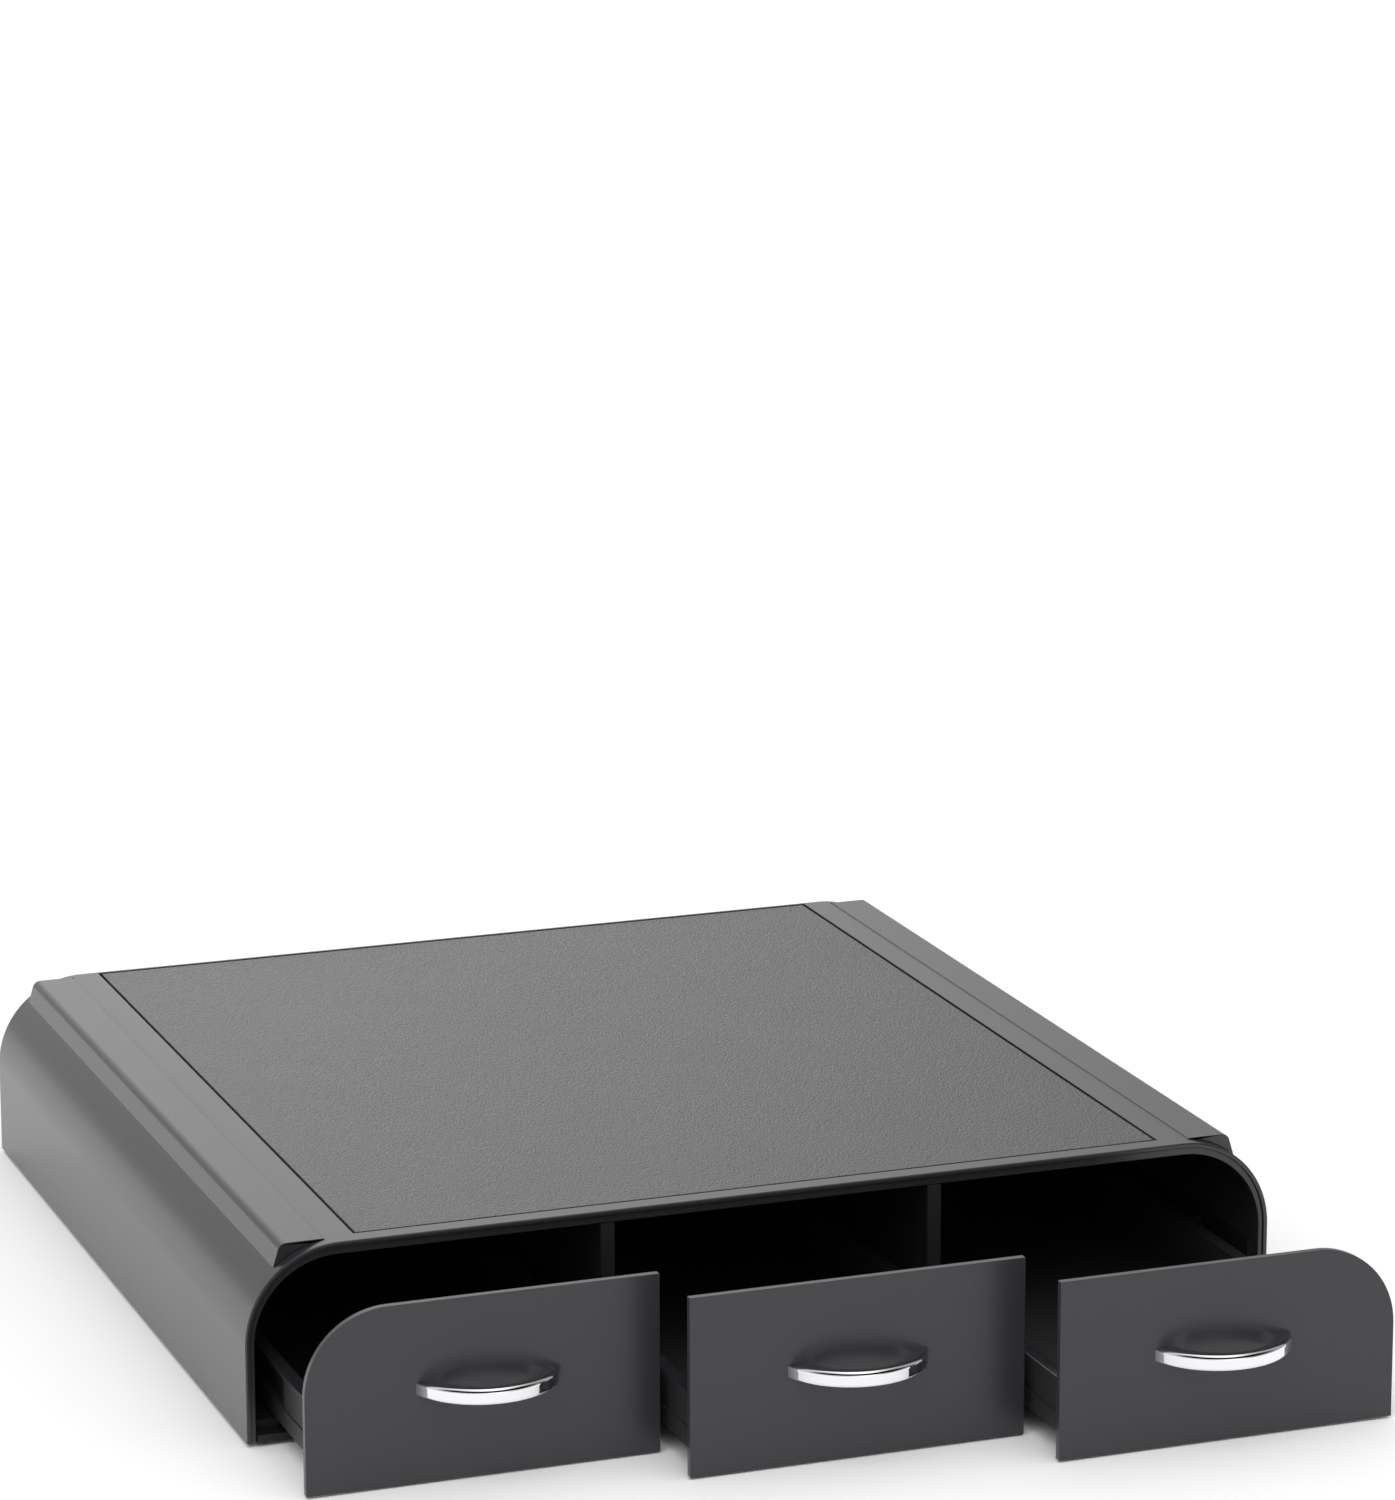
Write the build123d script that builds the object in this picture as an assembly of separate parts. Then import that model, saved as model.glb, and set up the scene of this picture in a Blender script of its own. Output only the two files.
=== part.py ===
from build123d import *
import os

os.makedirs("parts", exist_ok=True)

# Countertop coffee pod drawer: a low arched case with three side-by-side drawers.
#
# The case is an arched plastic cover with rounded shoulders, two shoulder rails, an inset textured deck,
# a base plate, a back panel, two dividers and two side runners. Each drawer is a shallow tray hung on
# runners by channelled rails on its sides, with a tall front and a bowed handle that two screws hold from
# inside.
#
# Millimetres, +Z up, +X to the right and +Y to the back as one faces the drawers. The origin is on the
# surface the case stands on, in the middle of the footprint, handles included. The drawers stand open by
# different amounts, which is their rest position.

# ---- case, as a whole ----
case_width = 350.0
case_depth = 328.0
case_height = 62.5  # cover alone, without the feet
shoulder_radius = 31.0
side_wall = 2.4
deck_thickness = 3.4
fit_gap = 0.05  # between parts that are fastened to each other
running_gap = 0.6  # between parts that slide past each other

# ---- stepped rim round the front opening ----
rim_edge = 1.6  # outer edge, flush with the front
rim_step = 0.8  # the inner lip is set back by this much
rim_lip = 0.8  # how far the lip stands in from the wall
rim_depth = 6.0

# ---- feet and base ----
foot_height = 1.5  # the case stands this far off the surface
foot_recess = 0.6  # how deep a foot sits in the base
foot_radius = 7.0
foot_inset = 22.0  # from the case's sides and ends to a foot's centre
base_thickness = 2.4
back_thickness = 2.4
back_recess = 1.0  # the back panel is set in from the cover's rear edge

# ---- textured deck panel ----
deck_side_border = 37.5
deck_front_border = 6.8
deck_back_border = 1.6
pocket_depth = 1.5
panel_gap = 0.9
panel_drop = 0.1  # the panel lies this far below the cover's top
panel_edge_fillet = 0.3

# ---- shoulder rails ----
rail_inner_inset = 27.4  # from the case's side to the rail's inner edge
rail_outer_inset = 13.0  # to its outer edge at the top
rail_proud = 0.1  # how far its top stands above the cover
rail_batter = 0.3  # outward run of its outer face for each mm down
rail_corner = 3.0
rail_front_inset = 4.7
rail_back_inset = 4.0
peg_radius = 1.8
peg_inset = 21.0  # from the case's side
peg_count = 3
peg_end_margin = 30.0

# ---- bays, dividers and runners ----
bay_inset = 7.6  # from the case's side to where the bays begin
divider_web = 3.0
divider_flange_width = 4.6
divider_flange_depth = 2.0
divider_foot_width = 8.0
divider_foot_height = 2.8
divider_setback = 0.4
runner_bottom = 15.7  # heights from the case's bottom
runner_top = 21.7
side_runner_plate = 1.8
side_runner_top = 24.0
boss_radius = 2.2
boss_height = 8.0  # above the base
screw_radius = 1.2
screw_head_radius = 2.8
screw_head_height = 1.2
screw_length = 8.0
screw_end_margin = 45.0

# ---- drawers ----
drawer_names = ("left", "middle", "right")
drawer_openings = (46.0, 71.4, 97.4)  # how far each stands open, in the same order
tray_side_space = 2.8  # from the bay's edge to the tray's flange
channel_depth = 2.8
closing_gap = 0.5  # the nose stops this far from the runners' front ends
tray_wall = 1.8
tray_floor = 1.6
tray_bottom = 3.5  # heights from the case's bottom
skirt_bottom = 6.0
channel_bottom = 12.0
channel_top = 22.0
tray_top = 23.5
tray_corner = 2.0
tray_nose = 42.0  # closed length in front of the channels
nose_recess = 0.4  # of its face, between the flange and the skirt
tray_rear_space = 10.6
handle_wall_width = 60.0
handle_wall_top = 37.0
handle_wall_corner = 5.0
front_thickness = 2.5
front_bottom = -0.7
front_top = 57.2
front_side_inset = 4.7
front_corner_radius = 27.0
front_gap = 0.5  # between neighbouring fronts
front_stand_off = 0.3  # from the case when closed
front_edge_fillet = 0.2

# ---- handles ----
handle_outer_half = 23.4
handle_outer_bow = 15.8
handle_inner_half = 17.1
handle_inner_bow = 12.2
handle_thickness = 5.0
handle_height = 29.7  # centre, from the case's bottom
handle_fillet = 0.9
handle_screw_offset = 19.0
handle_screw_radius = 1.3
handle_screw_head_radius = 2.8
handle_screw_head_height = 1.8
handle_screw_bite = 4.0

# ---- worked-out places ----
half_width = case_width / 2
case_bottom = foot_height
case_top = case_bottom + case_height
arc_height = case_top - shoulder_radius
inner_half = half_width - side_wall
deck_underside = case_top - deck_thickness
inner_radius = shoulder_radius - (side_wall + deck_thickness) / 2
base_top = case_bottom + base_thickness
drawer_count = len(drawer_names)
bay_pitch = (case_width - 2 * bay_inset) / drawer_count
tray_width = bay_pitch - 2 * tray_side_space
tray_box_width = tray_width - 2 * channel_depth
reach = max(drawer_openings) + front_stand_off + front_thickness + handle_outer_bow
case_front = (reach - case_depth) / 2
case_back = case_front + case_depth
back_panel_rear = case_back - back_recess
back_panel_front = back_panel_rear - back_thickness
front_back_face = case_front - front_stand_off  # of a closed drawer's front, where its tray begins
front_face = front_back_face - front_thickness
runner_front = front_back_face + tray_nose + closing_gap
tray_length = back_panel_front - tray_rear_space - front_back_face
divider_places = [(i + 1) * bay_pitch - 1.5 * bay_pitch for i in range(drawer_count - 1)]
drawer_centres = [(i - 1) * bay_pitch for i in range(drawer_count)]
screw_places = (case_front + screw_end_margin, back_panel_front - screw_end_margin)
side_screw_place = half_width - side_wall - side_runner_plate - boss_radius


def rounded_panel(x0, x1, z0, z1, left_radius=0.0, right_radius=0.0):
    """An upright outline in XZ whose top corners may be rounded."""
    left_arc = [CenterArc((x0 + left_radius, z1 - left_radius), left_radius, 90, 90)] if left_radius else []
    right_arc = [CenterArc((x1 - right_radius, z1 - right_radius), right_radius, 0, 90)] if right_radius else []
    left_side = Line((x0, z0), (x0, z1 - left_radius))
    top = Line((x0 + left_radius, z1), (x1 - right_radius, z1))
    right_side = Line((x1, z1 - right_radius), (x1, z0))
    bottom = Line((x1, z0), (x0, z0))
    return make_face([left_side, *left_arc, top, *right_arc, right_side, bottom])


def along_y(outline, y0, y1):
    """An XZ outline carried from y0 back to y1."""
    return extrude(Pos(0, y0, 0) * (Plane.XZ * outline), amount=y1 - y0, dir=(0, 1, 0))


def block(x0, x1, y0, y1, z0, z1):
    """A box given by its low and high sides."""
    return Pos((x0 + x1) / 2, (y0 + y1) / 2, (z0 + z1) / 2) * Box(x1 - x0, y1 - y0, z1 - z0)


def upright_cylinder(x, y, z0, z1, radius):
    return Pos(x, y, (z0 + z1) / 2) * Cylinder(radius, z1 - z0)


def level_cylinder(x, y0, y1, z, radius):
    """A cylinder whose axis runs front to back."""
    return Pos(x, (y0 + y1) / 2, z) * Rot(90, 0, 0) * Cylinder(radius, y1 - y0)


def cross_recess(radius, depth):
    """A crossed slot for a driver, centred on the outer face of an upright screw's head."""
    return Box(2 * radius, radius / 2, depth) + Box(radius / 2, 2 * radius, depth)


def peg_places():
    first = case_front + rail_front_inset + peg_end_margin
    last = case_back - rail_back_inset - peg_end_margin
    return [first + (last - first) * i / (peg_count - 1) for i in range(peg_count)]


def mirrored(shape, side):
    """The shape as made for the left, or its mirror image for the right."""
    return shape if side == "left" else mirror(shape, about=Plane.YZ)


# ---- case parts ----
def make_cover():
    """Arched cover with the stepped front rim, the deck pocket and the rails' peg holes."""
    outer = rounded_panel(-half_width, half_width, case_bottom, case_top, shoulder_radius, shoulder_radius)
    inner = rounded_panel(-inner_half, inner_half, case_bottom - 1, deck_underside, inner_radius, inner_radius)
    lip_half = inner_half - rim_lip
    lip_top = deck_underside - rim_lip
    lip_radius = inner_radius - rim_lip
    lip = rounded_panel(-lip_half, lip_half, case_bottom - 1, lip_top, lip_radius, lip_radius)
    edge_half = half_width - rim_edge
    edge_top = case_top - rim_edge
    edge_radius = shoulder_radius - rim_edge
    edge = rounded_panel(-edge_half, edge_half, case_bottom - 1, edge_top, edge_radius, edge_radius)
    cover = along_y(outer, case_front, case_back)
    cover -= along_y(lip, case_front - 1, case_front + rim_depth)
    cover -= along_y(inner, case_front + rim_depth, case_back + 1)
    cover -= along_y(edge, case_front - 1, case_front + rim_step)
    pocket_half = half_width - deck_side_border
    cover -= block(-pocket_half, pocket_half, case_front + deck_front_border, case_back - deck_back_border,
                   case_top - pocket_depth, case_top + 1)
    for x in (-half_width + peg_inset, half_width - peg_inset):
        for y in peg_places():
            cover -= upright_cylinder(x, y, arc_height, case_top + 1, peg_radius + fit_gap)
    return cover


def make_deck_panel():
    """Textured sheet that lies in the cover's pocket, clear of it all round."""
    half = half_width - deck_side_border - panel_gap
    front = case_front + deck_front_border + panel_gap
    back = case_back - deck_back_border - panel_gap
    top = case_top - panel_drop
    panel = block(-half, half, front, back, case_top - pocket_depth, top)
    return fillet(panel.faces().sort_by(Axis.Z)[-1].edges(), panel_edge_fillet)


def make_shoulder_rail(side):
    """Rail that squares off a rounded shoulder, with pegs that go through the cover."""
    inner_x = -half_width + rail_inner_inset
    outer_x = -half_width + rail_outer_inset
    top = case_top + rail_proud
    arc_x = -half_width + shoulder_radius
    foot_x = outer_x - rail_batter * rail_inner_inset / 2
    foot_z = top - rail_inner_inset / 2
    section = make_face(Polyline((inner_x, top), (outer_x, top), (foot_x, foot_z), (inner_x, arc_height),
                                 close=True))
    corner = section.vertices().sort_by_distance((outer_x, top, 0))[0]
    section = fillet(corner, rail_corner)
    section -= Pos(arc_x, arc_height) * Circle(shoulder_radius + fit_gap)
    rail = along_y(section, case_front + rail_front_inset, case_back - rail_back_inset)
    peg_x = -half_width + peg_inset
    peg_bottom = case_top - deck_thickness - 2 * peg_radius
    for y in peg_places():
        rail += upright_cylinder(peg_x, y, peg_bottom, case_top - peg_radius / 2, peg_radius)
    return mirrored(rail, side)


def foot_places():
    xs = (-half_width + foot_inset, half_width - foot_inset)
    ys = (case_front + foot_inset, back_panel_front - foot_inset)
    return [(x, y) for x in xs for y in ys]


def case_screw_places():
    xs = [-side_screw_place] + divider_places + [side_screw_place]
    return [(x, y) for x in xs for y in screw_places]


def make_base_plate():
    """Flat base between the cover's sides, with recesses for the feet and the screw heads."""
    half = inner_half - fit_gap
    plate = block(-half, half, case_front, back_panel_front - fit_gap, case_bottom, base_top)
    plate -= block(-half, -half + rim_lip, case_front, case_front + rim_depth + fit_gap, case_bottom, base_top)
    plate -= block(half - rim_lip, half, case_front, case_front + rim_depth + fit_gap, case_bottom, base_top)
    for x, y in foot_places():
        plate -= upright_cylinder(x, y, case_bottom, case_bottom + foot_recess, foot_radius + fit_gap)
    for x, y in case_screw_places():
        plate -= upright_cylinder(x, y, case_bottom, case_bottom + screw_head_height + fit_gap,
                                  screw_head_radius + fit_gap)
        plate -= upright_cylinder(x, y, case_bottom, base_top, screw_radius + fit_gap)
    return plate


def make_back_panel():
    """Panel that closes the rear of the cover, set in from its edge."""
    half = inner_half - fit_gap
    outline = rounded_panel(-half, half, case_bottom, deck_underside - fit_gap, inner_radius, inner_radius)
    return along_y(outline, back_panel_front, back_panel_rear)


def make_divider(x):
    """Wall between two bays: a web with a front flange, a foot, runners on both sides and screw bosses."""
    rear = back_panel_front - fit_gap
    flange_front = case_front + divider_setback
    flange_back = flange_front + divider_flange_depth
    lip_top = deck_underside - rim_lip - fit_gap
    web_front = case_front + rim_depth + fit_gap
    web_half = divider_web / 2
    foot_half = divider_foot_width / 2
    runner_half = bay_edge_to_channel() - running_gap
    divider = block(x - web_half, x + web_half, flange_front, rear, base_top, lip_top)
    divider += block(x - web_half, x + web_half, web_front, rear, base_top, deck_underside)
    divider += block(x - divider_flange_width / 2, x + divider_flange_width / 2, flange_front, flange_back,
                     base_top, lip_top)
    divider += block(x - foot_half, x + foot_half, flange_back, rear, base_top, base_top + divider_foot_height)
    divider += block(x - runner_half, x + runner_half, runner_front, rear,
                     case_bottom + runner_bottom, case_bottom + runner_top)
    for y in screw_places:
        divider += upright_cylinder(x, y, base_top, base_top + boss_height, boss_radius)
    for y in screw_places:
        divider -= upright_cylinder(x, y, base_top, base_top + boss_height - 1, screw_radius + fit_gap)
    return divider


def bay_edge_to_channel():
    """From a bay's edge to the floor of the channel in the tray's side."""
    return tray_side_space + channel_depth


def make_side_runner(side):
    """Runner fixed inside the cover's side wall, with a foot that the base's screws hold."""
    outer = -inner_half + fit_gap
    tip = -drawer_count * bay_pitch / 2 + bay_edge_to_channel() - running_gap
    foot_tip = tip - running_gap
    front = case_front + rim_depth + fit_gap
    rear = back_panel_front - fit_gap
    runner = block(outer, outer + side_runner_plate, front, rear, base_top, case_bottom + side_runner_top)
    runner += block(outer, foot_tip, front, rear, base_top, base_top + divider_foot_height)
    runner += block(outer, tip, runner_front, rear, case_bottom + runner_bottom, case_bottom + runner_top)
    for y in screw_places:
        runner += upright_cylinder(-side_screw_place, y, base_top, base_top + boss_height, boss_radius)
    for y in screw_places:
        runner -= upright_cylinder(-side_screw_place, y, base_top, base_top + boss_height - 1,
                                   screw_radius + fit_gap)
    return mirrored(runner, side)


def make_feet():
    feet = []
    for x, y in foot_places():
        foot = upright_cylinder(x, y, 0, case_bottom + foot_recess, foot_radius)
        feet.append(fillet(foot.edges().sort_by(Axis.Z)[0], foot_recess))
    return Compound(children=feet)


def make_case_screws():
    """Screws up through the base into the dividers and the side runners."""
    screws = []
    for x, y in case_screw_places():
        screw = upright_cylinder(x, y, case_bottom, case_bottom + screw_head_height, screw_head_radius)
        screw += upright_cylinder(x, y, case_bottom, case_bottom + screw_length, screw_radius)
        screws.append(screw - Pos(x, y, case_bottom) * cross_recess(screw_radius, screw_head_height))
    return Compound(children=screws)


# ---- drawer parts, each made closed and then slid open ----
def make_tray(x):
    """Shallow open box with a handle wall raised from the middle of its front."""
    front = front_back_face
    rear = front + tray_length
    box_half = tray_box_width / 2
    bottom = case_bottom + tray_bottom
    top = case_bottom + tray_top
    tray = block(x - box_half, x + box_half, front, rear, bottom, top)
    handle_wall = rounded_panel(x - handle_wall_width / 2, x + handle_wall_width / 2, top - tray_corner,
                                case_bottom + handle_wall_top, handle_wall_corner, handle_wall_corner)
    tray += along_y(handle_wall, front, front + tray_wall)
    cavity = block(x - box_half + tray_wall, x + box_half - tray_wall, front + tray_wall, rear - tray_wall,
                   bottom + tray_floor, top + 1)
    cavity = fillet(cavity.edges().filter_by(Axis.Z), tray_corner)
    tray -= cavity
    for side in (-1, 1):
        screw_x = x + side * handle_screw_offset
        tray -= level_cylinder(screw_x, front - 1, front + tray_wall + 1, case_bottom + handle_height,
                               handle_screw_radius + fit_gap)
    return tray


def make_tray_rails(x):
    """Rails on both sides of a tray: flange, channel and skirt, closed in front by a nose."""
    front = front_back_face
    rear = front + tray_length
    low = case_bottom + skirt_bottom
    low_channel = case_bottom + channel_bottom
    high_channel = case_bottom + channel_top
    top = case_bottom + tray_top
    rails = []
    for side in (-1, 1):
        inner = x + side * tray_box_width / 2
        outer = x + side * tray_width / 2
        nose_face = outer - side * nose_recess
        x0, x1 = min(inner, outer), max(inner, outer)
        nose_x0, nose_x1 = min(inner, nose_face), max(inner, nose_face)
        rail = block(x0, x1, front, rear, high_channel, top)
        rail += block(x0, x1, front, rear, low, low_channel)
        rail += block(nose_x0, nose_x1, front, front + tray_nose, low, top)
        ends = rail.edges().filter_by(Axis.Z).group_by(Axis.Y)[-1]
        rail = fillet(ends.filter_by(lambda edge: abs(edge.center().X - outer) < nose_recess), tray_wall)
        rails.append(rail)
    return Compound(children=rails)


def make_front(x, index):
    """Drawer front: flat, taller than the tray, and rounded where it meets a shoulder."""
    is_left = index == 0
    is_right = index == drawer_count - 1
    x0 = -half_width + front_side_inset if is_left else x - bay_pitch / 2 + front_gap / 2
    x1 = half_width - front_side_inset if is_right else x + bay_pitch / 2 - front_gap / 2
    outline = rounded_panel(x0, x1, case_bottom + front_bottom, case_bottom + front_top,
                            front_corner_radius if is_left else 0.0, front_corner_radius if is_right else 0.0)
    panel = along_y(outline, front_face, front_back_face)
    panel = fillet(panel.faces().sort_by(Axis.Y)[0].edges(), front_edge_fillet)
    for side in (-1, 1):
        panel -= level_cylinder(x + side * handle_screw_offset, front_face - 1, front_back_face + 1,
                                case_bottom + handle_height, handle_screw_radius + fit_gap)
    return panel


def crescent(half, bow):
    """Circular segment in XY with its chord on the X axis, bowed towards -Y."""
    radius = (half ** 2 + bow ** 2) / (2 * bow)
    disc = Pos(0, radius - bow) * Circle(radius)
    return disc & (Pos(0, -bow) * Rectangle(4 * radius, 2 * bow))


def make_handle(x):
    """Bowed pull with flat ends on the front and a blind hole in each for its screw."""
    z = case_bottom + handle_height
    section = crescent(handle_outer_half, handle_outer_bow) - crescent(handle_inner_half, handle_inner_bow)
    bow = extrude(section, amount=handle_thickness / 2, both=True)
    rounded = [edge for edge in bow.edges() if edge.geom_type == GeomType.CIRCLE]
    bow = fillet(rounded, handle_fillet)
    bow = Pos(x, front_face, z) * bow
    for side in (-1, 1):
        bow -= level_cylinder(x + side * handle_screw_offset, front_face - handle_screw_bite - fit_gap,
                              front_face + 1, z, handle_screw_radius + fit_gap)
    return bow


def make_handle_screws(x):
    """The handle's two screws, heads inside the tray's handle wall."""
    wall_back = front_back_face + tray_wall
    tip = front_face - handle_screw_bite
    head_back = wall_back + handle_screw_head_height
    z = case_bottom + handle_height
    screws = []
    for side in (-1, 1):
        place = x + side * handle_screw_offset
        screw = level_cylinder(place, tip, wall_back, z, handle_screw_radius)
        head = level_cylinder(place, wall_back, head_back, z, handle_screw_head_radius)
        head = fillet(head.edges().sort_by(Axis.Y)[-1], handle_screw_head_height / 2)
        recess = cross_recess(handle_screw_radius, handle_screw_head_height)
        recess = Pos(place, head_back, z) * Rot(90, 0, 0) * recess
        screws.append(screw + head - recess)
    return Compound(children=screws)


def save(shape, name):
    export_step(shape, f"parts/{name}.step")


def build():
    save(make_cover(), "cover")
    save(make_deck_panel(), "deck_panel")
    save(make_base_plate(), "base_plate")
    save(make_back_panel(), "back_panel")
    save(make_feet(), "feet")
    save(make_case_screws(), "case_screws")
    for side in ("left", "right"):
        save(make_shoulder_rail(side), f"{side}_shoulder_rail")
        save(make_side_runner(side), f"{side}_side_runner")
    for side, x in zip(("left", "right"), divider_places):
        save(make_divider(x), f"{side}_divider")
    for index, name in enumerate(drawer_names):
        x = drawer_centres[index]
        opened = Pos(0, -drawer_openings[index], 0)
        save(opened * make_tray(x), f"{name}_tray")
        save(opened * make_tray_rails(x), f"{name}_tray_rails")
        save(opened * make_front(x, index), f"{name}_front")
        save(opened * make_handle(x), f"{name}_handle")
        save(opened * make_handle_screws(x), f"{name}_handle_screws")


build()
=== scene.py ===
import math
import bmesh
import bpy
import numpy as np
from mathutils import Matrix


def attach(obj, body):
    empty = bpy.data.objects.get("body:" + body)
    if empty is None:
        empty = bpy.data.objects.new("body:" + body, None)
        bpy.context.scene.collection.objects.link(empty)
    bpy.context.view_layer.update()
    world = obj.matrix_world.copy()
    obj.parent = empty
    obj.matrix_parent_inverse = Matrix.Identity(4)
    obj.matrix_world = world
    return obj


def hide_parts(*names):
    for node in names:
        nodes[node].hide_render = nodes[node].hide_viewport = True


# Looks of the coffee pod drawer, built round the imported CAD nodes.
# Lengths are written in mm and turned to metres where a mesh is made.

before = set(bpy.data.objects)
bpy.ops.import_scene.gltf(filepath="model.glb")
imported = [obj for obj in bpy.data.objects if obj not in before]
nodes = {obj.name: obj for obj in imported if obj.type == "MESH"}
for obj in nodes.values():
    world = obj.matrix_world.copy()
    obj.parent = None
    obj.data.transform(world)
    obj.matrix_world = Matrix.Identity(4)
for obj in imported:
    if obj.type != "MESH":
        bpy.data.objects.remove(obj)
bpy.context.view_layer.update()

nextToNothing = 1e-9  # what is shorter than this has no length
apart = 0.02          # the run of a step that is all but upright


# tools for curves and surfaces

def unit(v):
    return v / np.linalg.norm(v, axis=-1, keepdims=True)


def roundedLoop(corners, radii, steps):
    # each corner becomes an arc that touches both of its sides, turned evenly from one side to the
    # other: centre = corner + bisector * radius / sin(half angle)
    corners = np.asarray(corners, float)
    arcs = []
    for i, radius in enumerate(radii):
        corner, after = corners[i], corners[(i + 1) % len(corners)]
        toBefore, toAfter = unit(corners[i - 1] - corner), unit(after - corner)
        if radius <= 0:
            arcs.append(corner[None])
            continue
        half = 0.5 * math.acos(float(np.clip(toBefore @ toAfter, -1, 1)))
        centre = corner + unit(toBefore + toAfter) * radius / math.sin(half)
        start = corner + toBefore * radius / math.tan(half) - centre
        end = corner + toAfter * radius / math.tan(half) - centre
        turn = math.pi - 2 * half
        t = np.linspace(0, 1, steps + 1)[:, None]
        swept = np.sin((1 - t) * turn) * start + np.sin(t * turn) * end
        arcs.append(centre + swept / math.sin(turn))
    return np.concatenate(arcs)


def insetLoop(loop, amount):
    # point = point + amount * inward normal, stretched at corners so that both sides move by the
    # amount; a side of no length takes the direction of the one before it
    sharpest = 0.5  # a corner's stretch stops at 1 / this
    edge = np.roll(loop, -1, axis=0) - loop
    missing = np.linalg.norm(edge, axis=1) < nextToNothing
    edge[missing] = np.roll(edge, 1, axis=0)[missing]
    edge = unit(edge)
    after = np.roll(loop, -1, axis=0)
    area = np.sum(loop[:, 0] * after[:, 1] - after[:, 0] * loop[:, 1])
    inward = np.stack([-edge[:, 1], edge[:, 0]], axis=1) * np.sign(area)
    middle = unit(inward + np.roll(inward, 1, axis=0))
    along = np.sum(middle * inward, axis=1, keepdims=True)
    return loop + middle * amount / np.maximum(along, sharpest)


def quarterRound(radius, a):
    # the inset and the height of a rounded edge: (r (1 - sin a), r (1 - cos a))
    return radius * (1 - np.sin(a)), radius * (1 - np.cos(a))


def edgeLevels(low, high, lowRound, highRound):
    # a rounded edge at both ends, the upper one turned over
    a = np.linspace(0, math.pi / 2, 6)
    lowInset, lowRise = quarterRound(lowRound, a)
    highInset, highFall = quarterRound(highRound, a)
    lower = np.stack([lowInset, low + lowRise], axis=1)
    upper = np.stack([highInset, high - highFall], axis=1)[::-1]
    return np.concatenate([lower, upper])


def layered(loop, levels, upright=False):
    # surface(level, along) = loop moved in by the level's inset, at the level's height
    rows = []
    for inset, height in levels:
        flat = insetLoop(loop, inset) if inset > nextToNothing else loop
        up = np.full(len(flat), height)
        across, other = flat[:, 0], flat[:, 1]
        rows.append(np.stack([across, up, other] if upright else [across, other, up], axis=1))
    return np.stack(rows)


def surfacePiece(name, grids, body, material, stands, sharpAngle=70.0):
    # rows of closed loops become quads, the first and last rows become flat caps
    mergeDistance = 2e-7  # in m
    points, faces, start = [], [], 0
    for grid in grids:
        index = start + np.arange(grid.shape[0] * grid.shape[1]).reshape(grid.shape[:2])
        turned = np.roll(index, -1, axis=1)
        quads = np.stack([index[:-1], turned[:-1], turned[1:], index[1:]], axis=-1)
        faces += quads.reshape(-1, 4).tolist() + [index[0][::-1].tolist(), index[-1].tolist()]
        points.append(grid.reshape(-1, 3) / 1000.0)
        start += grid.shape[0] * grid.shape[1]
    mesh = bpy.data.meshes.new(name)
    mesh.from_pydata(np.concatenate(points).tolist(), [], faces)
    cleaned = bmesh.new()
    cleaned.from_mesh(mesh)
    bmesh.ops.remove_doubles(cleaned, verts=cleaned.verts, dist=mergeDistance)
    bmesh.ops.recalc_face_normals(cleaned, faces=cleaned.faces)
    cleaned.to_mesh(mesh)
    cleaned.free()
    mesh.polygons.foreach_set("use_smooth", np.ones(len(mesh.polygons), bool))
    mesh.set_sharp_from_angle(angle=math.radians(sharpAngle))
    mesh.materials.append(material)
    piece = bpy.data.objects.new(name, mesh)
    bpy.context.scene.collection.objects.link(piece)
    shading = piece.modifiers.new("flatFaces", "WEIGHTED_NORMAL")
    shading.keep_sharp = True
    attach(piece, body)
    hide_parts(*stands)


# tools for materials

def newMaterial(name, colour, roughness, metallic=0.0):
    material = bpy.data.materials.new(name)
    material.use_nodes = True
    tree = material.node_tree
    shader = tree.nodes["Principled BSDF"]
    shader.inputs["Base Color"].default_value = (*colour, 1.0)
    shader.inputs["Roughness"].default_value = roughness
    shader.inputs["Metallic"].default_value = metallic
    return material, tree, shader


def addNode(tree, kind, settings=None, **inputs):
    node = tree.nodes.new(kind)
    for key, value in (settings or {}).items():
        setattr(node, key, value)
    for key, value in inputs.items():
        node.inputs[key.replace("_", " ")].default_value = value
    return node


def addRange(tree, source, values, settings=None):
    # the source's span from the first value to the second becomes the third to the fourth
    fromMin, fromMax, toMin, toMax = values
    node = addNode(tree, "ShaderNodeMapRange", settings, From_Min=fromMin, From_Max=fromMax,
                   To_Min=toMin, To_Max=toMax)
    tree.links.new(source, node.inputs["Value"])
    return node.outputs["Result"]


def varyRoughness(tree, shader, coordinates, scale, low, high):
    # roughness = low to high over the part of the noise's span that it mostly keeps to
    noiseLow, noiseHigh = 0.1, 0.9
    noise = addNode(tree, "ShaderNodeTexNoise", Scale=scale, Detail=4.0, Roughness=0.6)
    tree.links.new(coordinates, noise.inputs["Vector"])
    spread = addRange(tree, noise.outputs["Fac"], (noiseLow, noiseHigh, low, high))
    tree.links.new(spread, shader.inputs["Roughness"])


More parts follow.
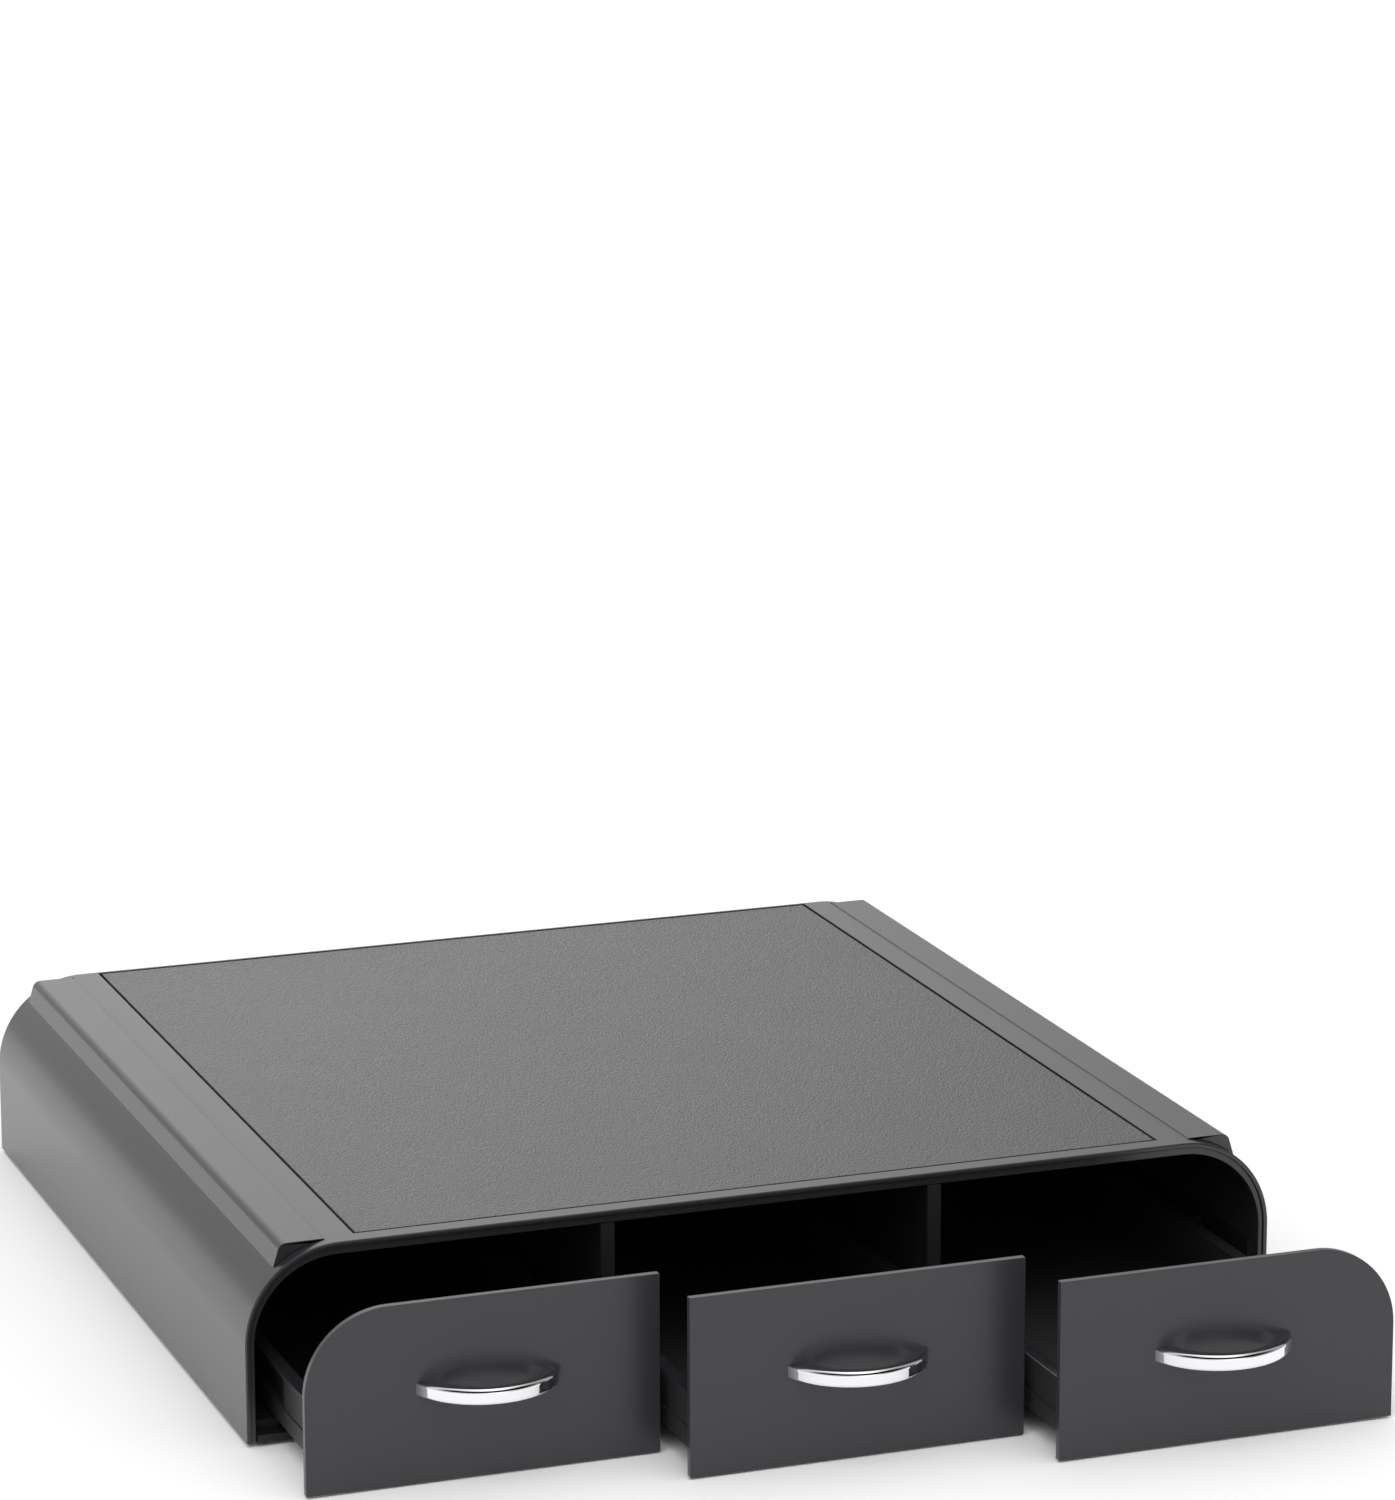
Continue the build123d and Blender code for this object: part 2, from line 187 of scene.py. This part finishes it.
def smoothRim(tree, shader, place, topRoughness):
    # the rim is smoother than the walls below it: roughness = mix(walls, top, step(height, in m))
    wallEnd, rimStart = 0.0244, 0.0247
    sides = shader.inputs["Roughness"].links[0].from_socket
    split = addNode(tree, "ShaderNodeSeparateXYZ")
    smoother = addNode(tree, "ShaderNodeMix", {"data_type": "FLOAT"}, B=topRoughness)
    tree.links.new(place, split.inputs[0])
    onRim = addRange(tree, split.outputs["Z"], (wallEnd, rimStart, 0.0, 1.0))
    tree.links.new(onRim, smoother.inputs["Factor"])
    tree.links.new(sides, smoother.inputs["A"])
    tree.links.new(smoother.outputs["Result"], shader.inputs["Roughness"])


cloudScale = 25.0       # of the slow changes of gloss on the plastics, per m
grainPerMetre = 2600.0  # of the satin skin's fine grain


def satinPlastic(name, colour, low, high, ior=1.5, grainDepth=0.004, topRoughness=None):
    # moulded satin skin: very fine grain in the bump, and a slightly cloudy gloss
    material, tree, shader = newMaterial(name, colour, 0.5 * (low + high))
    shader.inputs["IOR"].default_value = ior
    place = addNode(tree, "ShaderNodeTexCoord").outputs["Object"]
    varyRoughness(tree, shader, place, cloudScale, low, high)
    if topRoughness is not None:
        smoothRim(tree, shader, place, topRoughness)
    fine = addNode(tree, "ShaderNodeTexNoise", Scale=grainPerMetre, Detail=2.0)
    bump = addNode(tree, "ShaderNodeBump", Strength=0.35, Distance=grainDepth / 1000.0)
    tree.links.new(place, fine.inputs["Vector"])
    tree.links.new(fine.outputs["Fac"], bump.inputs["Height"])
    tree.links.new(bump.outputs["Normal"], shader.inputs["Normal"])
    return material


def pebblePlastic(name, colour, low, high, ior, pebblesPerMetre, pebbleDepth):
    # pebble grain: height = smooth distance to the nearest of many scattered cell centres
    material, tree, shader = newMaterial(name, colour, 0.5 * (low + high))
    shader.inputs["IOR"].default_value = ior
    place = addNode(tree, "ShaderNodeTexCoord").outputs["Object"]
    varyRoughness(tree, shader, place, cloudScale, low, high)
    cells = addNode(tree, "ShaderNodeTexVoronoi", {"feature": "SMOOTH_F1"},
                    Scale=pebblesPerMetre, Smoothness=0.5)
    bump = addNode(tree, "ShaderNodeBump", {"invert": True}, Strength=1.0,
                   Distance=pebbleDepth / 1000.0)
    tree.links.new(place, cells.inputs["Vector"])
    tree.links.new(cells.outputs["Distance"], bump.inputs["Height"])
    tree.links.new(bump.outputs["Normal"], shader.inputs["Normal"])
    return material


def metal(name, colour, low, high, scale):
    material, tree, shader = newMaterial(name, colour, 0.5 * (low + high), 1.0)
    place = addNode(tree, "ShaderNodeTexCoord").outputs["Object"]
    varyRoughness(tree, shader, place, scale, low, high)
    return material


coverPlastic = satinPlastic("coverPlastic", (0.020, 0.020, 0.022), 0.22, 0.25, ior=1.55)
frontPlastic = satinPlastic("frontPlastic", (0.026, 0.026, 0.030), 0.27, 0.30)
trayPlastic = satinPlastic("trayPlastic", (0.018, 0.018, 0.020), 0.50, 0.54, topRoughness=0.12)
# the parts inside the case get a darker copy of the same black plastic: painted shade for the dark
# interior
paintedShadeInnerPlastic = satinPlastic("paintedShadeInnerPlastic", (0.010, 0.010, 0.011), 0.50, 0.56, ior=1.45)
deckPlastic = pebblePlastic("deckPlastic", (0.016, 0.016, 0.018), 0.30, 0.33, ior=1.6,
                            pebblesPerMetre=1250.0, pebbleDepth=0.18)
chrome = metal("handleChrome", (0.86, 0.87, 0.88), 0.03, 0.06, 60.0)
screwSteel = metal("screwSteel", (0.55, 0.56, 0.58), 0.25, 0.40, 400.0)
footRubber = satinPlastic("footRubber", (0.02, 0.02, 0.02), 0.75, 0.90, grainDepth=0.03)

# CAD nodes that keep their own mesh; the base plate, runners and dividers take the darker copy of
# the plastic, which is painted shade
keptNodes = {
    "base_plate": paintedShadeInnerPlastic, "back_panel": coverPlastic, "feet": footRubber,
    "case_screws": screwSteel, "left_side_runner": paintedShadeInnerPlastic, "right_side_runner": paintedShadeInnerPlastic,
    "left_divider": paintedShadeInnerPlastic, "right_divider": paintedShadeInnerPlastic, "left_handle_screws": screwSteel,
    "middle_handle_screws": screwSteel, "right_handle_screws": screwSteel,
}
for nodeName, nodeMaterial in keptNodes.items():
    kept = nodes[nodeName].data.materials
    for i in range(len(kept)):
        kept[i] = nodeMaterial
print("materials done")

# the case
case = {"half": 175.0, "front": -106.0, "back": 222.0, "bottom": 1.5, "top": 64.0, "shoulder": 31.0,
        "innerHalf": 172.6, "underside": 60.6, "innerShoulder": 28.1, "flatHalf": 141.0,
        "wall": 2.4, "lip": 0.8, "rim": 1.6, "mouth": 3.2, "mouthLength": 6.0}
# round each corner of the wall's section, from the outer front edge on
caseRadii = [0.55, 0.3, 0.12, 0.35, 0.1, 0, 0.2, 0.5]
pocket = {"half": 137.5, "front": -99.2, "back": 220.4, "depth": 1.5, "edge": 0.35}


upSide = np.array([0.0, 0.35, 0.7])  # heights of the points below the shoulder, as shares
shoulderTurn = np.linspace(0, math.pi / 2, 29)


def caseLine(half, top, shoulder, topX):
    # up the left side, round the shoulder and along the top to the pocket; on the shoulder,
    # point = centre + shoulder * (-cos a, sin a)
    centreX, centreZ = half - shoulder, top - shoulder
    bottom = case["bottom"]
    return np.concatenate([
        np.stack([np.full(len(upSide), -half), bottom + upSide * (centreZ - bottom)], 1),
        np.stack([-centreX - shoulder * np.cos(shoulderTurn),
                  centreZ + shoulder * np.sin(shoulderTurn)], 1),
        np.stack([topX, np.full(len(topX), top)], 1)])


def bothHalves(leftHalf, flip):
    # the left half, and then its mirror image from the middle down
    return np.concatenate([leftHalf, leftHalf[::-1] * flip])


def makeCover():
    # surface(s, k): s goes up the left side, over and down the right side, and k goes once round
    # the wall's section; point = outer line - depth * outward direction, or the same from the
    # inner line; over the pocket the depth grows by the lesser of what s and k allow
    a = np.linspace(0, math.pi / 2, 5)
    edgeInset, edgeFall = quarterRound(pocket["edge"], a)
    topX = np.concatenate([[-case["flatHalf"]], -pocket["half"] - edgeInset,
                           [-pocket["half"] + apart]])
    topDepth = np.concatenate([[0.0], edgeFall, [pocket["depth"]]])
    outer = caseLine(case["half"], case["top"], case["shoulder"], topX)
    inner = caseLine(case["innerHalf"], case["underside"], case["innerShoulder"], topX)
    outward = np.concatenate([
        np.tile([-1.0, 0.0], (len(upSide), 1)),
        np.stack([-np.cos(shoulderTurn), np.sin(shoulderTurn)], 1),
        np.tile([0.0, 1.0], (len(topX), 1))])
    across = np.concatenate([np.zeros(len(upSide) + len(shoulderTurn)), topDepth])
    flip = np.array([-1.0, 1.0])
    outer, inner, outward = (bothHalves(line, flip) for line in (outer, inner, outward))
    across = bothHalves(across, 1.0)

    # the wall's section, as (distance from the front, depth from the outside)
    length = case["back"] - case["front"]
    lip, rim, wall = case["lip"], case["rim"], case["wall"]
    mouth, mouthLength = case["mouth"], case["mouthLength"]
    section = roundedLoop(
        [(0, 0), (0, rim), (lip, rim), (lip, mouth), (mouthLength, mouth), (mouthLength, wall),
         (length, wall), (length, 0)], caseRadii, steps=5)
    pocketFront, pocketBack = pocket["front"] - case["front"], pocket["back"] - case["front"]
    runY = np.concatenate([pocketBack + edgeInset, [pocketBack - apart],
                           [pocketFront + apart], (pocketFront - edgeInset)[::-1]])
    runDepth = np.concatenate([edgeFall, [pocket["depth"]], [pocket["depth"]], edgeFall[::-1]])
    y = np.concatenate([section[:, 0], runY]) + case["front"]
    depth = np.concatenate([section[:, 1], np.zeros(len(runY))])
    along = np.concatenate([np.zeros(len(section)), runDepth])
    sunk = np.minimum(across[:, None], along[None])
    fromOuter = outer[:, None] - (depth[None] + sunk)[..., None] * outward[:, None]
    fromInner = inner[:, None] - (depth[None] - wall)[..., None] * outward[:, None]
    nearOuter = depth < 0.5 * (rim + wall)
    xz = np.where(nearOuter[None, :, None], fromOuter, fromInner)
    grid = np.stack([xz[..., 0], np.broadcast_to(y, xz.shape[:2]), xz[..., 1]], axis=-1)
    surfacePiece("coverShell", [grid], "case", coverPlastic, ["cover"])


deck = {"half": 136.6, "front": -98.3, "back": 219.5, "bottom": 62.5, "top": 63.9, "corner": 0.6,
        "lowRound": 0.1, "topRound": 0.35}


def makeDeck():
    # plate with its top edge rounded
    half, front, back = deck["half"], deck["front"], deck["back"]
    loop = roundedLoop([(-half, front), (half, front), (half, back), (-half, back)],
                       [deck["corner"]] * 4, steps=5)
    grid = layered(loop, edgeLevels(deck["bottom"], deck["top"], deck["lowRound"],
                                    deck["topRound"]))
    surfacePiece("deckSheet", [grid], "case", deckPlastic, ["deck_panel"])


rail = {"inner": 147.6, "outer": 162.0, "top": 64.1, "batter": 0.3, "innerCorner": 0.8,
        "corner": 3.0, "front": -101.3, "back": 218.0, "seat": 0.05, "endRound": 0.15}
peg = {"x": 154.0, "radius": 1.8, "fromEnd": 30, "bottom": 57.0, "top": 63.1, "round": 0.3}


def makeRail(sideName, sign):
    # section: flat top, rounded outer corner, steep outer face, and an underside that follows
    # the shoulder; the outer face's foot is where it first comes as near as the shoulder's reach
    reach = case["shoulder"] + rail["seat"]
    centreX, centreZ = case["half"] - case["shoulder"], case["top"] - case["shoulder"]
    lowestFoot, samples = 40, 4001
    z = np.linspace(lowestFoot, rail["top"], samples)
    onFace = rail["outer"] + rail["batter"] * (rail["top"] - z)
    meet = int(np.argmax(np.hypot(onFace - centreX, z - centreZ) >= reach))
    footAngle = math.atan2(z[meet] - centreZ, onFace[meet] - centreX)
    innerAngle = math.acos((rail["inner"] - centreX) / reach)
    under = np.linspace(footAngle, innerAngle, 12)
    underX, underZ = centreX + reach * np.cos(under), centreZ + reach * np.sin(under)
    corners = [(rail["inner"], rail["top"]), (rail["outer"], rail["top"]), *zip(underX, underZ)]
    radii = [rail["innerCorner"], rail["corner"]] + [0.0] * len(under)
    loop = roundedLoop(corners, radii, steps=8) * np.array([sign, 1.0])
    levels = edgeLevels(rail["front"], rail["back"], rail["endRound"], rail["endRound"])
    grids = [layered(loop, levels, upright=True)]

    # three pegs below: circle(turn) = centre + radius * (cos turn, sin turn)
    first, last = rail["front"] + peg["fromEnd"], rail["back"] - peg["fromEnd"]
    turn = np.linspace(0, 2 * math.pi, 24, endpoint=False)
    for y in (first, (first + last) / 2, last):
        ring = np.stack([sign * peg["x"] + peg["radius"] * np.cos(turn),
                         y + peg["radius"] * np.sin(turn)], 1)
        grids.append(layered(ring, edgeLevels(peg["bottom"], peg["top"], peg["round"], 0.0)))
    surfacePiece(sideName + "Rail", grids, "case", coverPlastic,
                 [sideName + "_shoulder_rail"])


makeCover()
makeDeck()
for sideName, sign in (("left", -1.0), ("right", 1.0)):
    makeRail(sideName, sign)
print("case done")

# the drawers
drawers = {
    "left": {"centre": -111.6, "opened": 46.0, "x": (-170.3, -56.05), "radii": (27.0, 0.3)},
    "middle": {"centre": 0.0, "opened": 71.4, "x": (-55.55, 55.55), "radii": (0.3, 0.3)},
    "right": {"centre": 111.6, "opened": 97.4, "x": (56.05, 170.3), "radii": (0.3, 27.0)},
}
closedFront = -106.3  # where a closed drawer's tray begins and its front ends
front = {"thickness": 2.5, "bottom": 0.8, "top": 58.7, "lowCorner": 0.3, "faceRound": 0.18,
         "backRound": 0.15}


def makeFront(name, drawer):
    # flat panel with softened edges and one large corner on the outer drawers
    x0, x1 = drawer["x"]
    leftRadius, rightRadius = drawer["radii"]
    low, high = front["bottom"], front["top"]
    loop = roundedLoop([(x0, low), (x1, low), (x1, high), (x0, high)],
                       [front["lowCorner"], front["lowCorner"], rightRadius, leftRadius], steps=20)
    back = closedFront - drawer["opened"]
    levels = edgeLevels(back - front["thickness"], back, front["faceRound"], front["backRound"])
    grid = layered(loop, levels, upright=True)
    surfacePiece(name + "Panel", [grid], name + "_drawer", frontPlastic,
                 [name + "_front"])


handle = {"outer": (23.4, 15.8), "inner": (17.1, 12.2), "width": 3.6, "halfHeight": 2.5,
          "radii": [1.5, 0.7, 0.7, 0.9], "z": 31.2}


def makeHandle(name, drawer):
    # surface(t, k): t goes along the bow, k round a rounded bar between the outer and inner arc;
    # arc point = (R sin a, R - bow - R cos a) with R = (half^2 + bow^2) / (2 bow)
    t = np.linspace(-1, 1, 73)

    def arc(half, bow):
        radius = (half ** 2 + bow ** 2) / (2 * bow)
        a = t * math.asin(half / radius)
        return np.stack([radius * np.sin(a), radius - bow - radius * np.cos(a)], 1)

    outer, inner = arc(*handle["outer"]), arc(*handle["inner"])
    inwards = unit(inner - outer)
    width, tall = handle["width"], handle["halfHeight"]
    bar = roundedLoop([(0, tall), (width, tall), (width, -tall), (0, -tall)], handle["radii"],
                      steps=12)
    inset = bar[None, :, :1]
    fromOuter = outer[:, None] + inset * inwards[:, None]
    fromInner = inner[:, None] - (width - inset) * inwards[:, None]
    flat = np.where(inset < width / 2, fromOuter, fromInner)
    up = np.broadcast_to(bar[:, 1], flat.shape[:2])
    face = closedFront - drawer["opened"] - front["thickness"]
    grid = np.stack([flat[..., 0] + drawer["centre"], flat[..., 1] + face, up + handle["z"]],
                    axis=-1)
    surfacePiece(name + "Pull", [grid], name + "_drawer", chrome,
                 [name + "_handle"])


tray = {"half": 53.0, "boxHalf": 50.2, "wall": 1.8, "length": 314.3, "nose": 42.0,
        "noseRecess": 0.4, "bottom": 5.0, "skirt": 7.5, "channelLow": 13.5, "channelHigh": 23.5,
        "top": 25.0, "floor": 6.6, "wallTop": 38.5, "wallHalf": 30.0, "wallCorner": 5.0,
        "wallFoot": 0.3, "edge": 0.4, "innerCorner": 2.0, "floorRound": 1.0}


def makeTray(name, drawer):
    # rings round the box from the underside, out over the skirt, in and out of the channel, over
    # the rim and down to the floor: point = (x - side * mask, y, z + lift * raised), where the
    # mask moves the side walls in and the lift raises the rim over the handle wall
    half, wall, length = tray["half"], tray["wall"], tray["length"]
    wallHalf, wallCorner = tray["wallHalf"], tray["wallCorner"]
    quarter = np.linspace(0, math.pi / 2, 7)
    rise = tray["wallTop"] - tray["top"]
    upX = np.concatenate([[-wallHalf - apart, -wallHalf],
                          -wallHalf + wallCorner * (1 - np.cos(quarter))])
    upZ = np.concatenate([[0.0, tray["wallFoot"]],
                          rise - wallCorner + wallCorner * np.sin(quarter)])
    runX, runZ = np.concatenate([upX, -upX[::-1]]), np.concatenate([upZ, upZ[::-1]])
    onWall = len(runX)

    def corner(cornerX, cornerY, radius, start):
        # quarter arc inside a corner, from the start angle on
        sideX, sideY = np.sign(cornerX), np.sign(cornerY - length / 2)
        a = start + quarter
        return np.stack([cornerX - sideX * radius + radius * np.cos(a),
                         cornerY - sideY * radius + radius * np.sin(a)], 1)

    def ring(h, y0, y1, frontRadius, rearRadius):
        # along the handle wall, then to the right and round the box
        nose = tray["nose"]
        return np.concatenate([
            np.stack([runX, np.full(onWall, y0)], 1),
            corner(h, y0, frontRadius, -math.pi / 2),
            [[h, nose], [h, nose + apart]],
            corner(h, y1, rearRadius, 0.0),
            corner(-h, y1, rearRadius, math.pi / 2),
            [[-h, nose + apart], [-h, nose]],
            corner(-h, y0, frontRadius, math.pi)])

    edge, inside = tray["edge"], tray["innerCorner"]
    outer = ring(half, 0.0, length, edge, wall)
    inner = ring(tray["boxHalf"] - wall, wall, length - wall, inside, inside)
    channelDepth = half - tray["boxHalf"]
    shallow = tray["noseRecess"] / channelDepth
    onCorner = len(quarter)
    offWall = len(outer) - onWall
    noseEdge = np.full(onCorner, shallow)
    channel = np.concatenate([np.zeros(onWall), noseEdge, [shallow, 1], np.ones(2 * onCorner),
                              [1, shallow], noseEdge])
    box = np.concatenate([np.zeros(onWall), np.ones(offWall)])
    lift = np.concatenate([runZ, np.zeros(offWall)])
    side = np.sign(outer[:, 0]) * channelDepth

    def row(path, z, mask=0.0, inset=0.0, raised=0.0):
        flat = insetLoop(path, inset) if abs(inset) > nextToNothing else path
        return np.stack([flat[:, 0] - side * mask, flat[:, 1],
                         np.full(len(flat), z) + lift * raised], axis=1)

    # a round edge is drawn through three points, the middle one this share of the radius in
    near = 0.3
    bottom, skirt, top, floor = tray["bottom"], tray["skirt"], tray["top"], tray["floor"]
    low, high, floorRound = tray["channelLow"], tray["channelHigh"], tray["floorRound"]
    rows = [row(outer, bottom, box, edge), row(outer, bottom + near * edge, box, near * edge),
            row(outer, bottom + edge, box), row(outer, skirt, box), row(outer, skirt),
            row(outer, low), row(outer, low, channel), row(outer, high, channel),
            row(outer, high), row(outer, top - edge, raised=1),
            row(outer, top - near * edge, inset=near * edge, raised=1),
            row(outer, top, inset=edge, raised=1),
            row(inner, top, inset=-edge, raised=1),
            row(inner, top - near * edge, inset=-near * edge, raised=1),
            row(inner, top - edge, raised=1),
            row(inner, floor + floorRound),
            row(inner, floor + near * floorRound, inset=near * floorRound),
            row(inner, floor, inset=floorRound)]
    grid = np.stack(rows) + np.array([drawer["centre"], closedFront - drawer["opened"], 0.0])
    surfacePiece(name + "Bin", [grid], name + "_drawer", trayPlastic,
                 [name + "_tray", name + "_tray_rails"], sharpAngle=50.0)


for name, drawer in drawers.items():
    makeFront(name, drawer)
    makeHandle(name, drawer)
    makeTray(name, drawer)
print("drawers done")

# the floor, a sheet in m under and round the part
sheetSide, sheetFront, sheetBack = 14, -14, 22
floorMesh = bpy.data.meshes.new("floor")
floorMesh.from_pydata([(-sheetSide, sheetFront, 0), (sheetSide, sheetFront, 0),
                       (sheetSide, sheetBack, 0), (-sheetSide, sheetBack, 0)], [], [(0, 1, 2, 3)])
floorPaint, _, floorShader = newMaterial("paleFloor", (0.95, 0.95, 0.95), 0.9)
floorShader.inputs["Specular IOR Level"].default_value = 0.0
floorMesh.materials.append(floorPaint)
floor = bpy.data.objects.new("floor", floorMesh)
bpy.context.scene.collection.objects.link(floor)

# the room: white to the camera, a little dimmer as light, and shaded in reflections
world = bpy.data.worlds.new("studio")
bpy.context.scene.world = world
world.use_nodes = True
sky = world.node_tree
sky.nodes.clear()
white = (1.0, 1.0, 1.0, 1.0)
seen = addNode(sky, "ShaderNodeBackground", Strength=1.0, Color=white)
ambient = addNode(sky, "ShaderNodeBackground", Strength=0.92, Color=white)
reflected = addNode(sky, "ShaderNodeBackground", Color=white)


def product(first, second):
    node = addNode(sky, "ShaderNodeMath", {"operation": "MULTIPLY"})
    sky.links.new(first, node.inputs[0])
    sky.links.new(second, node.inputs[1])
    return node.outputs[0]


# reflections show a dark strip across the viewer's side, part way up, and dim to the left and the
# right: brightness = bright * (1 - step(-y) * step(z) * (1 - step(z further up))) * left * right
direction = addNode(sky, "ShaderNodeTexCoord")
axes = addNode(sky, "ShaderNodeSeparateXYZ")
sky.links.new(direction.outputs["Generated"], axes.inputs[0])
steps = {
    "toViewer": ("Y", (-0.05, -0.35, 0.0, 1.0)),
    "below": ("Z", (0.80, 0.88, 1.0, 0.0)),
    "above": ("Z", (0.28, 0.36, 0.0, 1.0)),
    "left": ("X", (-0.45, 0.15, 0.50, 1.0)),
    "right": ("X", (0.16, 0.62, 1.09, 0.30)),
}
eased = {stepName: addRange(sky, axes.outputs[axis], values, {"interpolation_type": "SMOOTHSTEP"})
         for stepName, (axis, values) in steps.items()}
bright = 1.25
darkPart = product(eased["toViewer"], product(eased["below"], eased["above"]))
level = addRange(sky, darkPart, (0.0, 1.0, bright, 0.0))
strength = product(level, product(eased["left"], eased["right"]))
sky.links.new(strength, reflected.inputs["Strength"])

rays = addNode(sky, "ShaderNodeLightPath")
straight = addNode(sky, "ShaderNodeMath", {"operation": "MAXIMUM"})
choose = addNode(sky, "ShaderNodeMixShader")
chooseReflected = addNode(sky, "ShaderNodeMixShader")
skyOut = addNode(sky, "ShaderNodeOutputWorld")
sky.links.new(rays.outputs["Is Camera Ray"], straight.inputs[0])
sky.links.new(rays.outputs["Is Transmission Ray"], straight.inputs[1])
sky.links.new(straight.outputs[0], choose.inputs["Fac"])
sky.links.new(ambient.outputs[0], choose.inputs[1])
sky.links.new(seen.outputs[0], choose.inputs[2])
sky.links.new(rays.outputs["Is Glossy Ray"], chooseReflected.inputs["Fac"])
sky.links.new(choose.outputs[0], chooseReflected.inputs[1])
sky.links.new(reflected.outputs[0], chooseReflected.inputs[2])
sky.links.new(chooseReflected.outputs[0], skyOut.inputs["Surface"])

# a soft sun from above, the left and the front, kept out of the chrome's reflections
fromFront, fromLeft = math.radians(32), math.radians(-22)
sunData = bpy.data.lights.new("softSun", "SUN")
sunData.energy = 1.0
sunData.angle = math.radians(50)
sun = bpy.data.objects.new("softSun", sunData)
sun.rotation_euler = (fromFront, fromLeft, 0)
sun.visible_glossy = False
bpy.context.scene.collection.objects.link(sun)

# the photo's camera, from the fit to the case's edges: place in m, turns in radians
place = (-0.615455, -1.712950, 0.620290)
heading, downward, roll = -0.351947, 0.234762, -0.0025448
cameraData = bpy.data.cameras.new("camera")
cameraData.sensor_fit = "HORIZONTAL"
cameraData.sensor_width = 36.0
cameraData.lens = 145.94
cameraData.clip_end = 100.0
camera = bpy.data.objects.new("camera", cameraData)
bpy.context.scene.collection.objects.link(camera)
camera.matrix_world = (Matrix.Translation(place) @ Matrix.Rotation(heading, 4, "Z")
                       @ Matrix.Rotation(math.pi / 2 - downward, 4, "X")
                       @ Matrix.Rotation(roll, 4, "Z"))
bpy.context.scene.camera = camera
bpy.context.scene.view_settings.view_transform = "Standard"
print("light and camera done")
